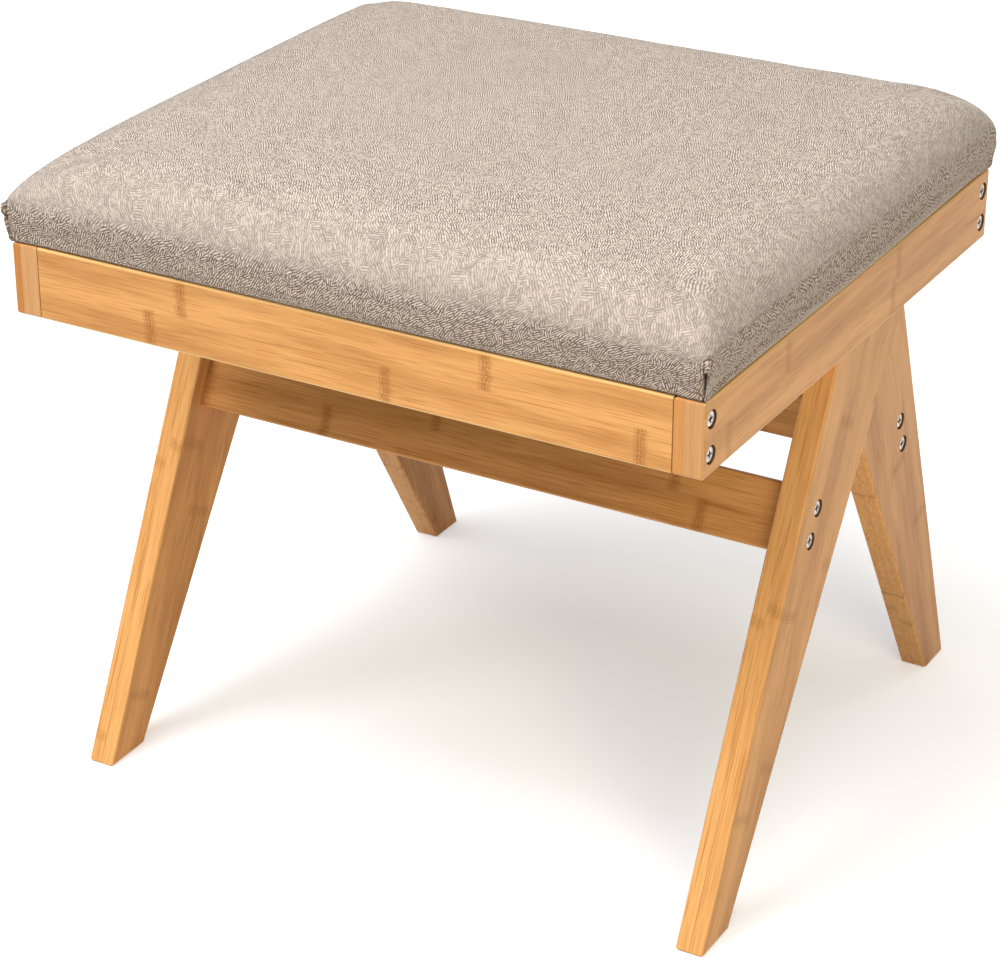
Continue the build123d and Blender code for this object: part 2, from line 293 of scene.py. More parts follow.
class FootstoolStage(bpy.types.PropertyGroup):
    """Camera and floor."""

    azimuth: number_setting("Azimuth", "Camera's turn to the right, in degrees", 29.74)
    elevation: number_setting("Elevation", "Camera's height above the horizon, in degrees", 26.51)
    distance: length_setting("Distance", "Camera to target", 2.1393)
    target: bpy.props.FloatVectorProperty(
        name="Target",
        description="Point at the middle of the picture",
        subtype="XYZ",
        unit="LENGTH",
        size=3,
        default=(-0.0115, -0.020, 0.2015),
    )
    lens: number_setting("Lens", "Focal length in millimetres on a 36 mm sensor", 110.22)
    floor: colour_setting("Floor", "Colour of the floor", (0.825, 0.85, 0.875))


def points(node):
    """The places of a solid's vertices."""
    return [vert.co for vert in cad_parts[node].data.vertices]


def paint(node, material):
    """Gives a solid of the frame its finish."""
    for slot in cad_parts[node].material_slots:
        slot.material = material


# Screws whose places (y, z) lie closer than this are one screw
SCREW_REACH = 11 * MM


def screw_axes(node):
    """Places (y, z) of the screws of a node that all lie along X."""
    groups = []
    for point in points(node):
        place = Vector((point.y, point.z))
        for group in groups:
            if (group[0] - place).length < SCREW_REACH:
                group.append(place)
                break
        else:
            groups.append([place])
    middles = []
    for group in groups:
        ys = [place.x for place in group]
        zs = [place.y for place in group]
        middles.append(((min(ys) + max(ys)) / 2, (min(zs) + max(zs)) / 2))
    return middles


# Pitch and one place of the cross marks on the front rail: lower strip, then upper strip
FRONT_MARKS = ((175.6 * MM, -142.5 * MM), (221.8 * MM, -117.9 * MM))
# How plain the cross marks of the side rails and legs are, beside those of the other boards
FAINT_MARKS = 0.5
# Painted shade on boards that stand in shade: how much darker than the front legs they are drawn, or paler,
# as painted light, where it is below 0
REAR_PAINTED_SHADE = {"rear_left_leg": 0.20, "rear_right_leg": -0.04}
STRETCHER_PAINTED_SHADE = 0.14
RAIL_LAYERS = 3
LEG_LAYERS = 2
STRETCHER_STRIPS, STRETCHER_LAYERS = 2, 2

# Noise scales of the bamboo per metre: along the grain, then across it
STREAKS = (6.0, 480.0)
FIBRES = (24.0, 1500.0)
CLOUDS = (6.0, 60.0)
DASHES = (30.0, 900.0)
WAVERS = (30.0, 160.0)
FLECKS = (500.0, 800.0)
# How much each of them, and each strip's own tone, darkens the bamboo
STREAK_DARK, FIBRE_DARK, CLOUD_DARK, DASH_DARK, TONE_DARK = 0.18, 0.46, 0.08, 0.36, 0.24
PLAIN_DARK = -0.15
# Cross marks: how far they waver, the half widths of their core and whole, the pitch of their lines
MARK_WAVER = 6.0 * MM
MARK_CORE, MARK_HALF = 0.8 * MM, 6.5 * MM
MARK_LINE = 2.3 * MM
# Glue lines: half widths between strips and between layers, and how far in they are full
ROW_SEAM, PLY_SEAM, FULL_SEAM = 0.55 * MM, 0.45 * MM, 0.05 * MM
# Painted highlight on the rounded edges: full within the first distance, gone at the second
EDGE_HIGHLIGHT_REACH = (0.7 * MM, 2.2 * MM)
# The dark line at a butt joint: its start and its full depth, from the board's end
BUTT = (1.0 * MM, 0.3 * MM)
BUTT_SHADE = (0.07, 0.022, 0.005)
BORE_RADIUS, BORE_EDGE = 6.0 * MM, 6.25 * MM
BORE_SHADE = (0.06, 0.024, 0.009)
END_PALE = (0.65, 0.39, 0.20)
# What turns light bamboo rosy
ROSY = (0.93, 0.86, 0.92)


def finish_bamboo(
    node, boards, axes, start, strip, layer, seed,
    marks=None, mark_depth=1.0, painted_shade=0.0, size=None, joint=None, bores=(),
):
    """Gives a board laminated bamboo whose grain, strips and layers follow its three axes.

    axes: unit vectors along the grain, across the strips and through the layers
    start: where the board starts across the strips and through the layers
    marks: pitch and one place of the cross marks of the lower and upper strip, where these are known
    size: width and thickness of a board whose rounded edges get a painted highlight
    joint: half length of a board that butts against its neighbours
    bores: places (y, z) of the bores for screws
    """
    grain, across, thick = axes
    finish = Finish(node + "_bamboo")
    source = finish.node("ShaderNodeTexCoord")
    spot = source.outputs["Object"]
    end = abs(finish.along(source.outputs["Normal"], grain)).ramp(0.6, 0.8)
    broad = 1.0 - end
    u = finish.along(spot, grain)
    v = finish.along(spot, across) - start[0]
    w = finish.along(spot, thick) - start[1]
    row = (v / strip).floor() * broad
    ply = (w / layer).floor()

    # random numbers for each strip of each layer
    tone = finish.chance(finish.place(row, ply, seed))
    offset = finish.chance(finish.place(row, ply, seed + 11.0))
    warmth = finish.chance(finish.place(row, ply, seed + 23.0))

    # fibres run far along the grain and are fine across it; on a cut end they run up the board
    run = u + (v - u) * end
    side = v + (u - v) * end
    streak = finish.fibres(run, side, w, STREAKS, detail=4.0, roughness=0.62)
    fibre = finish.fibres(run, side, w, FIBRES)
    cloud = finish.fibres(run, side, w, CLOUDS)
    dash = finish.fibres(run + 4.0 / DASHES[0], side, w, DASHES, detail=1.0).ramp(0.53, 0.66)

    # cross marks where the cane's joints were: a soft dark band of fine wavy lines
    if marks:
        (low_pitch, low_place), (high_pitch, high_place) = marks
        pitch = row * (high_pitch - low_pitch) + low_pitch
        reach = (u - row * (high_place - low_place) - low_place) / pitch + 0.5
        cell = reach.floor()
        middle = 0.5
    else:
        pitch = boards.node_pitch
        reach = u / pitch + offset * 7.3
        cell = reach.floor()
        middle = finish.chance(finish.place(row + ply * 17.0, cell, seed + 5.0)) * 0.5 + 0.25
    waver = finish.fibres(u, v, w, WAVERS, detail=3.0) - 0.5
    apart = (reach - cell - middle) * pitch + waver * MARK_WAVER
    band = abs(apart).ramp(MARK_CORE, MARK_HALF, 1.0, 0.0) * broad
    lines = (apart * (2 * pi / MARK_LINE)).wave() * 0.5 + 0.5
    fleck = finish.fibres(u, v, w, FLECKS).ramp(0.35, 0.7)
    mark = band * (lines * 0.30 + fleck * 0.34 + 0.16) * mark_depth

    # glue lines between strips and between layers
    to_row = abs(v / strip - (v / strip).floor() - 0.5) * strip
    to_ply = abs(w / layer - ply - 0.5) * layer
    seam = to_row.ramp(strip / 2 - ROW_SEAM, strip / 2 - FULL_SEAM) * broad
    seam = seam.most(to_ply.ramp(layer / 2 - PLY_SEAM, layer / 2 - FULL_SEAM))

    # on a cut end the first layer is dark and the others are pale
    outer = ply.over(0.5)
    depth = streak.ramp(0.32, 0.70) * STREAK_DARK + fibre.ramp(0.3, 0.7) * FIBRE_DARK
    depth = depth + cloud.ramp(0.3, 0.7) * CLOUD_DARK + (tone - 0.5) * TONE_DARK
    # painted shade: boards that stand in shade are drawn darker by the amount passed in, paler where it is
    # below 0
    depth = depth + dash * DASH_DARK + (painted_shade + PLAIN_DARK)
    depth = depth + end * (streak.ramp(0.5, 0.72) * 0.4 + 0.95 - outer * 0.50)
    colour = finish.mix(depth.most(0.0).least(1.0), boards.light, boards.deep)
    rosy = [light * share for light, share in zip(boards.light, ROSY)]
    colour = finish.mix(warmth.ramp(0.55, 1.0, 0.0, 0.35), colour, rosy)
    colour = finish.mix(end * outer * 0.5, colour, END_PALE)
    colour = finish.mix(mark, colour, boards.joint_mark)
    colour = finish.mix(seam * cloud.ramp(0.35, 0.65, 0.12, 0.42), colour, boards.joint_mark)
    if size:
        # painted highlight: the rounded edges along the grain are painted paler
        from_v = v.least(size[0] - v)
        from_w = w.least(size[1] - w)
        edge_highlight = from_v.most(from_w).ramp(*EDGE_HIGHLIGHT_REACH, 1.0, 0.0) * broad
        colour = finish.mix(edge_highlight * 0.75, colour, boards.edge)
    if joint:
        # the joint's dark line where the board butts against its neighbour
        butt = abs(u).ramp(joint - BUTT[0], joint - BUTT[1])
        colour = finish.mix(butt * 0.8, colour, BUTT_SHADE)
    if bores:
        # the walls of the screws' bores are dark
        y, z = finish.along(spot, Y), finish.along(spot, Z)
        nearest = None
        for bore_y, bore_z in bores:
            off_y, off_z = y - bore_y, z - bore_z
            square = off_y * off_y + off_z * off_z
            nearest = nearest.least(square) if nearest else square
        bored = nearest.ramp(BORE_RADIUS ** 2, BORE_EDGE ** 2, 0.85, 0.0)
        colour = finish.mix(bored, colour, BORE_SHADE)

    height = streak * 0.5 + fibre * 0.5 - seam * 1.2 + mark * 0.5
    made = finish.surface(
        Base_Color=colour,
        Roughness=streak * 0.14 + 0.30 + band * 0.05,
        Specular_IOR_Level=0.11,
        Coat_Weight=0.05,
        Coat_Roughness=0.14,
        Normal=finish.relief(height, 0.05 * MM),
    )
    paint(node, made)


# How much of a leg's foot and top is looked at to find its slope
LEG_END = 4 * MM


def leg_grain(node):
    """Direction of a leg's outer edge, from its foot up."""
    low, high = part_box(node)
    forward = -1 if node.startswith("front") else 1
    foot = max(forward * point.y for point in points(node) if point.z < low.z + LEG_END)
    top = max(forward * point.y for point in points(node) if point.z > high.z - LEG_END)
    return Vector((0, forward * (top - foot), high.z - low.z)).normalized()


class FOOTSTOOL_OT_boards(bpy.types.Operator):
    """Give every bamboo board grain that runs along it"""

    bl_idname = "footstool.boards"
    bl_label = "Finish the boards"

    def execute(self, context):
        boards = context.scene.footstool_boards
        for seed, node in enumerate(("front_rail", "rear_rail", "front_cleat", "rear_cleat")):
            self.cross_board(boards, node, 3.0 + seed)
        for seed, node in enumerate(("left_side_rail", "right_side_rail")):
            self.side_rail(boards, node, 31.0 + seed)
        legs = ("front_left_leg", "front_right_leg", "rear_left_leg", "rear_right_leg")
        for seed, node in enumerate(legs):
            self.leg(boards, node, 53.0 + seed)
        for seed, node in enumerate(("front_stretcher", "rear_stretcher")):
            self.stretcher(boards, node, 71.0 + seed)
        return {"FINISHED"}

    def cross_board(self, boards, node, seed):
        """A rail or cleat that runs from side to side."""
        low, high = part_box(node)
        width, thickness = high.z - low.z, high.y - low.y
        strip = min(boards.strip, width)
        finish_bamboo(
            node, boards, (X, Z, Y), (low.z, low.y), strip, thickness / RAIL_LAYERS, seed,
            marks=FRONT_MARKS if node == "front_rail" else None,
            size=(width, thickness),
            joint=high.x if node.endswith("rail") else None,
        )

    def side_rail(self, boards, node, seed):
        """A rail that runs from front to rear."""
        low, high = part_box(node)
        thickness = high.x - low.x
        finish_bamboo(
            node, boards, (Y, Z, X), (low.z, low.x), boards.strip, thickness / RAIL_LAYERS, seed,
            mark_depth=FAINT_MARKS,
            size=(high.z - low.z, thickness),
            bores=screw_axes("rail_screws"),
        )

    def leg(self, boards, node, seed):
        """A leg, with its grain along its outer edge."""
        low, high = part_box(node)
        grain = leg_grain(node)
        across = X.cross(grain)
        edge = min(across.dot(point) for point in points(node))
        layer = (high.x - low.x) / LEG_LAYERS
        finish_bamboo(
            node, boards, (grain, across, X), (edge, low.x), boards.strip, layer, seed,
            mark_depth=FAINT_MARKS,
            painted_shade=REAR_PAINTED_SHADE.get(node, 0.0),
            bores=screw_axes(node.split("_")[0] + "_stretcher_screws"),
        )

    def stretcher(self, boards, node, seed):
        """A stretcher, which leans as the right leg at its end does."""
        slope = leg_grain(node.replace("stretcher", "right_leg"))
        square = X.cross(slope)
        heights = [slope.dot(point) for point in points(node)]
        depths = [square.dot(point) for point in points(node)]
        start = min(heights), min(depths)
        strip = (max(heights) - start[0]) / STRETCHER_STRIPS
        layer = (max(depths) - start[1]) / STRETCHER_LAYERS
        finish_bamboo(
            node, boards, (X, slope, square), start, strip, layer, seed, painted_shade=STRETCHER_PAINTED_SHADE
        )


# Screws whose heads show at the sides, then all fixings
SIDE_SCREWS = ("rail_screws", "front_stretcher_screws", "rear_stretcher_screws")
FIXINGS = (*SIDE_SCREWS, "leg_screws", "cleat_screws", "seat_screws", "cover_staples")
STEEL_BRIGHT, STEEL_DULL = (0.74, 0.71, 0.66), (0.58, 0.56, 0.53)
# Painted shade in the recess of a screw's head: its colour, and the depths at which it is full and gone
SCREW_RECESS_SHADE = (0.02, 0.018, 0.016)
RECESS_FULL, RECESS_GONE = 1.3 * MM, 0.5 * MM


class FOOTSTOOL_OT_fixings(bpy.types.Operator):
    """Give the screws and staples their plated steel"""

    bl_idname = "footstool.fixings"
    bl_label = "Finish the fixings"

    def execute(self, context):
        for node in FIXINGS:
            finish = Finish(node + "_steel")
            spot = finish.spot()
            fine = finish.noise(spot, scale=2600.0, detail=3.0)
            cloud = finish.noise(spot, scale=240.0)
            colour = finish.mix(cloud.ramp(0.35, 0.7), STEEL_BRIGHT, STEEL_DULL)
            if node in SIDE_SCREWS:
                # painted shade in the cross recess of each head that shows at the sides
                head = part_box(node)[1].x
                out = abs(finish.along(spot, X))
                recess_shade = out.ramp(head - RECESS_FULL, head - RECESS_GONE, 1.0, 0.0)
                colour = finish.mix(recess_shade * 0.95, colour, SCREW_RECESS_SHADE)
            made = finish.surface(
                Base_Color=colour,
                Metallic=0.85,
                Roughness=fine * 0.16 + 0.22,
                Normal=finish.relief(fine, 0.01 * MM),
            )
            paint(node, made)
        return {"FINISHED"}


PLYWOOD, PLYWOOD_FIGURE, PLYWOOD_PORE = (0.66, 0.47, 0.28), (0.50, 0.32, 0.17), (0.30, 0.18, 0.09)
FELT_DARK, FELT_PALE = (0.012, 0.012, 0.013), (0.05, 0.05, 0.052)


class FOOTSTOOL_OT_underside(bpy.types.Operator):
    """Finish the seat board and the dust cover under it"""

    bl_idname = "footstool.underside"
    bl_label = "Finish the underside"

    def execute(self, context):
        paint("seat_board", self.plywood())
        paint("dust_cover", self.felt())
        return {"FINISHED"}

    def plywood(self):
        """Figured plywood with fine pores, its grain from side to side."""
        finish = Finish("seat_board_plywood")
        spot = finish.spot()
        u, v, w = (finish.along(spot, axis) for axis in (X, Y, Z))
        figure = finish.noise(finish.place(u * 6.0, v * 60.0, w * 400.0), detail=5.0, distortion=0.8)
        pore = finish.noise(finish.place(u * 60.0, v * 1500.0, w * 900.0))
        colour = finish.mix(figure.ramp(0.3, 0.7), PLYWOOD, PLYWOOD_FIGURE)
        colour = finish.mix(pore.ramp(0.58, 0.75) * 0.35, colour, PLYWOOD_PORE)
        return finish.surface(
            Base_Color=colour,
            Roughness=figure * 0.12 + 0.58,
            Normal=finish.relief(pore, 0.08 * MM),
        )

    def felt(self):
        """Thin black cloth with a felted face."""
        finish = Finish("dust_cover_cloth")
        spot = finish.spot()
        fluff = finish.noise(spot, scale=1400.0, detail=4.0, roughness=0.7)
        blotch = finish.noise(spot, scale=90.0)
        return finish.surface(
            Base_Color=finish.mix(fluff * 0.7 + blotch * 0.3, FELT_DARK, FELT_PALE),
            Roughness=fluff * 0.15 + 0.78,
            Normal=finish.relief(fluff, 0.15 * MM),
        )


# Grid steps from a corner of the cushion inwards in millimetres: fine at the fold, then even
FOLD_STEPS = (0.0, 0.5, 1.0, 1.7, 2.6, 3.8, 5.5, 8.0, 11.0, 15.0, 20.0, 25.0)
EVEN_STEP = 5.2
SIDE_RINGS = 14
# The edge turned in under the board: its steps, how far it lies above the base, and its inner lip
TURN_STEPS = (4 * MM, 20 * MM)
TURN_RISE = 0.2 * MM
INNER_LIP = 1.5 * MM

# How far the cushion's widest line lies inside the solid cover, and how far its sides swell
INSET = 1.5 * MM
SIDE_SWELL = 1.5 * MM
SWELL_FADE = 60 * MM
# Cloth that lies over the rounded edge, for each unit that the edge runs in
EDGE_CLOTH = 1.28
# Largest corner radius beside the half width, and shoulder runs over which the corners square up
MOST_ROUND = 0.8
SQUARE_UP = 3
DROOP_POWER = 5
CROWN_POWER = 0.6
DRAW_POWER = 1.8
CORNER_POWER = 22
ON_EDGE = 1e-6
TINY = 1e-9

# Cloth simulation: frames, the most that a point may move, and how much smaller the cover starts
SIM_FRAMES = 20
SIM_CAP = 2.6 * MM
SIM_SHRINK = 1.2 * MM
SHRINK_FADE = 20 * MM
HELD_RISE = 1.0 * MM

# Corner tucks: how far from a corner they reach, and how softly they end at their top
TUCK_REACH = 60 * MM
TUCK_SOFT = 0.9 * MM
TUCK_START = 0.1 * MM
# The slit's near edge, its width at the base, and what it gains up to the tuck's top
SLIT_EDGE, SLIT_WIDTH, SLIT_GAIN = 0.15 * MM, 1.2 * MM, 0.5 * MM
# The lip beside the slit: how far it stands out at the base, what it gains, and how it fades
LIP_OUT, LIP_GAIN, LIP_FADE = 0.3 * MM, 1.4 * MM, 2.5 * MM
# The hollow on the slit's far side, as a share of the fold's depth, and how it fades
HOLLOW_SHARE, HOLLOW_FADE = 0.6, 1.9 * MM
# The rolled knob over a front tuck: half width, half height, height over it, and how far it stands out
KNOB_WIDTH, KNOB_HEIGHT, KNOB_RISE, KNOB_OUT = 3.2 * MM, 4.8 * MM, 4.5 * MM, 2.8 * MM
# The crease round the knob: where it lies and how wide it is, in knob sizes, and its depth
CREASE_AT, CREASE_WIDTH, CREASE_DEPTH = 1.15, 0.2, 0.8 * MM
KNOB_LIMIT = 1.6
PUCKER, PUCKER_SCALE, PUCKER_FADE = 0.3 * MM, 130.0, 24 * MM

# Weave: noise and patch scales per metre, and how far they bend the patches and sway the yarns
PATCH_SCALE = 165.0
BEND_SCALE, BEND = 330.0, 4.0 * MM
SWAY_SCALE, SWAY = 430.0, 0.8
HAIR_SCALE, WEAR_SCALE, CLOUD_SCALE = 2600.0, 340.0, 24.0
STITCH_YARNS = 4.0  # length of a stitch in yarn pitches
SIDE_START = 8 * MM  # the front's and sides' own slant starts this far inside the widest line
# Colour of the painted shade down the cushion's sides
SIDE_SHADE_COLOUR = (0.27, 0.165, 0.09)
CREASE_SHADE = (0.012, 0.008, 0.006)
SHEEN_TINT = (1.0, 0.93, 0.88, 1.0)


def grid_line(half):
    """Places from -half to half, close together near both ends."""
    ends = [step * MM for step in FOLD_STEPS]
    inner = half - ends[-1]
    count = max(2, round(2 * inner / (EVEN_STEP * MM)))
    middle = [inner - 2 * inner * n / count for n in range(1, count)]
    line = [half - step for step in ends] + middle + [step - half for step in reversed(ends)]
    return line[::-1]


def sign(number):
    """1 for a number above 0, else -1."""
    return 1 if number > 0 else -1


class Cushion:
    """The cushion's own measures, and the place of any point of its cover."""

    def __init__(self, seat):
        low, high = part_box("upholstery_cover")
        self.seat = seat
        self.middle = (low + high) / 2
        self.base = low.z
        self.half_x = (high.x - low.x) / 2 - INSET
        self.half_y = (high.y - low.y) / 2 - INSET
        self.widest = self.base + seat.widest_rise
        self.shoulder_rise = high.z + seat.loft - seat.crown - self.widest

    def placed(self, x, y, z):
        """A place of the cushion in the shared frame, where its middle lies at X 0."""
        return x, y + self.middle.y, z

    def rim(self, x, y, draw, radius):
        """Moves a point of the outer rectangle to a smaller one with round corners and swollen sides."""
        half_x, half_y = self.half_x - draw, self.half_y - draw
        radius = min(radius, MOST_ROUND * half_x, MOST_ROUND * half_y)
        px, py = x / self.half_x * half_x, y / self.half_y * half_y
        over_x, over_y = abs(px) - half_x + radius, abs(py) - half_y + radius
        swell = max(0.0, 1 - draw / SWELL_FADE) * SIDE_SWELL
        swell_x = swell * (1 - (py / half_y) ** 2) if abs(x) >= self.half_x - ON_EDGE else 0.0
        swell_y = swell * (1 - (px / half_x) ** 2) if abs(y) >= self.half_y - ON_EDGE else 0.0
        sign_x, sign_y = sign(px), sign(py)
        if over_x > 0 and over_y > 0:
            length = hypot(over_x, over_y) / max(over_x, over_y)
            px = (half_x - radius + over_x / length) * sign_x
            py = (half_y - radius + over_y / length) * sign_y
        return px + swell_x * sign_x, py + swell_y * sign_y

    def top(self, x, y):
        """Place on the top for a point of the flat rectangle, with its edge rounded over."""
        seat = self.seat
        run = seat.shoulder_in
        over = EDGE_CLOTH * run
        near = min(self.half_x - abs(x), self.half_y - abs(y))
        least = min(self.half_x, self.half_y)
        angle = min(near / over, 1.0) * pi / 2
        draw = run * (1 - cos(angle))
        if near > over:
            draw += (near - over) * (least - run) / (least - over)
        left_x, left_y = self.half_x - near, self.half_y - near
        share_x = x / left_x if left_x > TINY else 0.0
        share_y = y / left_y if left_y > TINY else 0.0
        radius = seat.corner + seat.corner_growth * min(draw, run)
        if draw > run:
            radius *= max(0.0, 1 - (draw - run) / (SQUARE_UP * run))
        px, py = self.rim(share_x * self.half_x, share_y * self.half_y, draw, radius)
        across, deep = min(1.0, abs(px) / self.half_x), min(1.0, abs(py) / self.half_y)
        most = seat.front_droop if py < 0 else seat.rear_droop
        droop = 1 - most * (across * deep) ** DROOP_POWER
        rearward = ((1 + py / self.half_y) / 2) ** 2
        uneven = (seat.rear_lift + seat.rear_twist * px / self.half_x) * rearward
        rise = (self.shoulder_rise * droop + uneven) * sin(angle)
        bow = (1 - across ** 2) * (1 - deep ** 2)
        return Vector((px, py, self.widest + rise + seat.crown * bow ** CROWN_POWER))

    def side(self, x, y, share):
        """Place on a side, from the widest point at 0 to the base at 1."""
        seat = self.seat
        fall = seat.widest_rise * share
        left = seat.widest_rise - fall
        corner = (abs(x) / self.half_x * abs(y) / self.half_y) ** CORNER_POWER
        draw = (seat.base_draw - seat.corner_fill * corner) * share ** DRAW_POWER
        if left < seat.hem:
            draw += seat.hem - (seat.hem ** 2 - (seat.hem - left) ** 2) ** 0.5
        radius = seat.corner + (seat.base_corner - seat.corner) * share
        px, py = self.rim(x, y, draw, radius)
        return Vector((px, py, self.widest - fall))

    def turned_in(self, x, y, inward):
        """Place on the edge that is turned in under the board."""
        spot = self.side(x, y, 1.0)
        px = spot.x * (1 - inward / self.half_x)
        py = spot.y * (1 - inward / self.half_y)
        return px, py, self.base + TURN_RISE


class FOOTSTOOL_OT_cushion(bpy.types.Operator):
    """Build the upholstered seat: blow it up as cloth, then tuck its corners"""

    bl_idname = "footstool.cushion"
    bl_label = "Make the cushion"

    def execute(self, context):
        seat = context.scene.footstool_seat
        form = Cushion(seat)
        piece = self.cover(context, form)
        cut = [vert.co.copy() for vert in piece.data.vertices]
        self.blow_up(context, piece, form, cut)
        self.tuck(piece, form, cut)
        self.select(context, piece)
        smooth = piece.modifiers.new("smooth", "SUBSURF")
        smooth.levels = smooth.render_levels = 1
        bpy.ops.object.modifier_apply(modifier=smooth.name)
        self.close(piece)
        bpy.ops.object.shade_smooth()
        piece.data.materials.append(self.woven(form))
        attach(piece, ROOT)
        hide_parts("upholstery_cover", "foam_pad")
        return {"FINISHED"}

    def select(self, context, piece):
        """Selects one piece alone and makes it active."""
        bpy.ops.object.select_all(action="DESELECT")
        piece.select_set(True)
        context.view_layer.objects.active = piece

    def cover(self, context, form):
        """The cover as one skin: top, four sides and the edge turned in under the board."""
        seat = form.seat
        mesh = bpy.data.meshes.new("seat_cushion")
        piece = bpy.data.objects.new("seat_cushion", mesh)
        context.collection.objects.link(piece)
        work = bmesh.new()
        cloth = work.loops.layers.uv.new("cloth")
        line_x, line_y = grid_line(form.half_x), grid_line(form.half_y)
        top = {}
        for i, x in enumerate(line_x):
            for j, y in enumerate(line_y):
                top[i, j] = work.verts.new(form.top(x, y) + form.middle)
        # heights are the frame's own already; the cloth's run depends on how this sum rounds them
        for vert in top.values():
            vert.co.z -= form.middle.z
        last_x, last_y = len(line_x) - 1, len(line_y) - 1
        for i in range(last_x):
            for j in range(last_y):
                ring = [(i, j), (i + 1, j), (i + 1, j + 1), (i, j + 1)]
                face = work.faces.new([top[at] for at in ring])
                for loop, at in zip(face.loops, ring):
                    loop[cloth].uv = (line_x[at[0]], line_y[at[1]])

        # rings of points from the widest line to the inner lip, and how far down the cloth they lie
        rim = [(i, 0) for i in range(last_x)] + [(last_x, j) for j in range(last_y)]
        rim += [(i, last_y) for i in range(last_x, 0, -1)] + [(0, j) for j in range(last_y, 0, -1)]
        edge = [(line_x[i], line_y[j]) for i, j in rim]
        rings = [[top[at] for at in rim]]
        drops = [0.0]
        for n in range(1, SIDE_RINGS + 1):
            share = n / SIDE_RINGS
            rings.append([work.verts.new(form.placed(*form.side(x, y, share))) for x, y in edge])
            drops.append(seat.widest_rise * share)
        for inward in (*TURN_STEPS, seat.margin):
            rings.append([work.verts.new(form.placed(*form.turned_in(x, y, inward))) for x, y in edge])
            drops.append(seat.widest_rise + inward)
        lip = form.base + INNER_LIP
        rings.append([work.verts.new((vert.co.x, vert.co.y, lip)) for vert in rings[-1]])
        drops.append(drops[-1] + INNER_LIP)

        ends = (last_x, last_x + last_y, 2 * last_x + last_y)
        count = len(rim)
        for upper, lower, drop, fall in zip(rings, rings[1:], drops, drops[1:]):
            for n in range(count):
                m = (n + 1) % count
                face = work.faces.new([upper[n], lower[n], lower[m], upper[m]])
                marks = ((n, drop), (n, fall), (m, fall), (m, drop))
                for loop, (at, run) in zip(face.loops, marks):
                    loop[cloth].uv = self.flat(form, edge[at], sum(n >= end for end in ends), run)
        bmesh.ops.recalc_face_normals(work, faces=work.faces)
        work.to_mesh(mesh)
        work.free()
        return piece

    def flat(self, form, point, side, run):
        """Where a point of a side lies on the flat cloth: side 0 is the front, then round by the right."""
        x, y = point
        if side == 0:
            return x, -form.half_y - run
        if side == 1:
            return form.half_x + run, y
        if side == 2:
            return x, form.half_y + run
        return -form.half_x - run, y

    def close(self, piece):
        """Closes the skin inside the seat board."""
        work = bmesh.new()
        work.from_mesh(piece.data)
        bmesh.ops.holes_fill(work, edges=[edge for edge in work.edges if edge.is_boundary], sides=0)
        bmesh.ops.recalc_face_normals(work, faces=work.faces)
        work.to_mesh(piece.data)
        work.free()

    def blow_up(self, context, piece, form, start):
        """Blows the cover up a little as cloth, with its base held, and caps how far it moves."""
        mesh = piece.data
        held = piece.vertex_groups.new(name="held")
        low = form.base + HELD_RISE
        held.add([n for n, co in enumerate(start) if co.z < low], 1.0, "REPLACE")
        for vert, co in zip(mesh.vertices, start):
            if co.z >= low:
                share = min(1.0, (co.z - low) / SHRINK_FADE)
                vert.co = co - SIM_SHRINK * share * Vector(vert.normal)
        cloth = piece.modifiers.new("cloth", "CLOTH")
        settings = cloth.settings
        settings.quality = 6
        settings.mass = 0.4
        settings.tension_stiffness = settings.compression_stiffness = 18
        settings.shear_stiffness = 8
        settings.bending_stiffness = 1.2
        settings.use_pressure = True
        settings.uniform_pressure_force = 4.0
        settings.vertex_group_mass = held.name
        settings.effector_weights.gravity = 0.0
        cloth.collision_settings.use_collision = False
        scene = context.scene
        for count in range(1, SIM_FRAMES + 1):
            scene.frame_set(count)
        self.select(context, piece)
        bpy.ops.object.modifier_apply(modifier=cloth.name)
        scene.frame_set(1)
        for vert, co in zip(mesh.vertices, start):
            move = vert.co - co
            if move.length > SIM_CAP:
                vert.co = co + move * (SIM_CAP / move.length)
        piece.vertex_groups.clear()

    def tuck(self, piece, form, cut):
        """Folds the spare cloth at each corner into a slit with a lip, at the front under a rolled knob."""
        seat = form.seat
        # these mark where the cover's material paints shade: inside each slit, and in a ring round each
        # knob
        tucked = piece.data.attributes.new("tucked", "FLOAT", "POINT")
        rolled = piece.data.attributes.new("rolled", "FLOAT", "POINT")
        for vert, place in zip(piece.data.vertices, cut):
            rise = place.z - form.base
            if rise < TUCK_START:
                continue
            x, y = place.x, place.y - form.middle.y
            sign_x, sign_y = sign(x), sign(y)
            gone = Vector((x - sign_x * form.half_x, y - sign_y * form.half_y))
            if gone.length > TUCK_REACH:
                continue
            outward = Vector((sign_x, sign_y)).normalized()
            beside = gone.dot(Vector((sign_x, -sign_y)).normalized())
            low = 1 / (1 + exp((rise - seat.fold_rise) / TUCK_SOFT))
            share = rise / seat.fold_rise
            if beside > -SLIT_EDGE:
                fold = (LIP_OUT + LIP_GAIN * share) * exp(-max(0.0, beside) / LIP_FADE)
            elif beside > -SLIT_WIDTH - SLIT_GAIN * min(1.0, share):
                fold = -seat.fold_depth
                tucked.data[vert.index].value = low
            else:
                fold = -HOLLOW_SHARE * seat.fold_depth * exp(beside / HOLLOW_FADE) * share
            knob = 0.0
            if sign_y < 0:
                above = rise - seat.fold_rise - KNOB_RISE
                away = hypot(beside / KNOB_WIDTH, above / KNOB_HEIGHT)
                rolled.data[vert.index].value = max(0.0, KNOB_LIMIT - away)
                knob = KNOB_OUT * max(0.0, 1 - away ** 2) ** 0.5
                knob -= CREASE_DEPTH * exp(-((away - CREASE_AT) / CREASE_WIDTH) ** 2)
